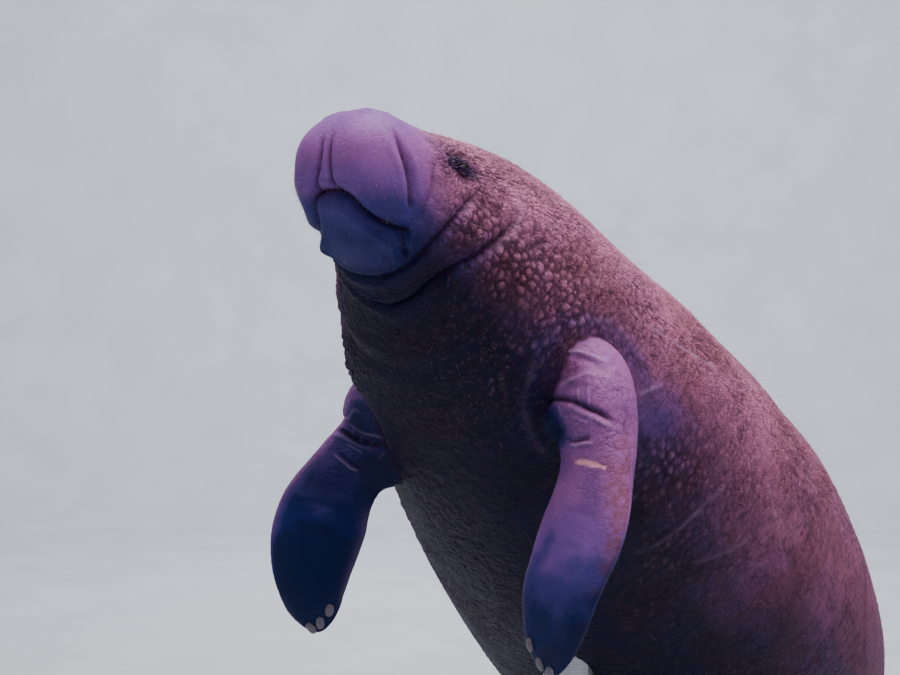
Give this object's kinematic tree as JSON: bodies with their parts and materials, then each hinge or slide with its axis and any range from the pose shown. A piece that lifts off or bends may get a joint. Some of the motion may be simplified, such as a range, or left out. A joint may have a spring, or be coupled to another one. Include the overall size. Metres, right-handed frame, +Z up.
{
  "type": "manatee model on a display stand",
  "caption": "Life-size museum model of an adult manatee, head up and tail down as it hangs under the surface, held by two rods on a flat base.",
  "frame": {"origin": "middle of the display base's flat underside", "axes": "-Y is the way the animal faces, +X its left side, +Z up; the base rests on Z = 0"},
  "size_m": [0.96, 2.2161, 2.0133],
  "materials": {
    "skin": "damp, wrinkled grey-mauve hide",
    "nail": "pale worn nail",
    "eye": "wet dark eye",
    "wood": "dark stained, satin",
    "steel": "brushed"
  },
  "bodies": {
    "root": {"head": "skin", "neck": "skin", "chest": "skin", "belly": "skin", "tail_stock": "skin", "tail_paddle": "skin", "flipper_left": "skin", "flipper_right": "skin", "nail_left_1": "nail", "nail_left_2": "nail", "nail_left_3": "nail", "nail_right_1": "nail", "nail_right_2": "nail", "nail_right_3": "nail", "eye_left": "eye", "eye_right": "eye", "stand_base": "wood", "stand_rod_front": "steel", "stand_rod_rear": "steel"}
  },
  "joints": []
}
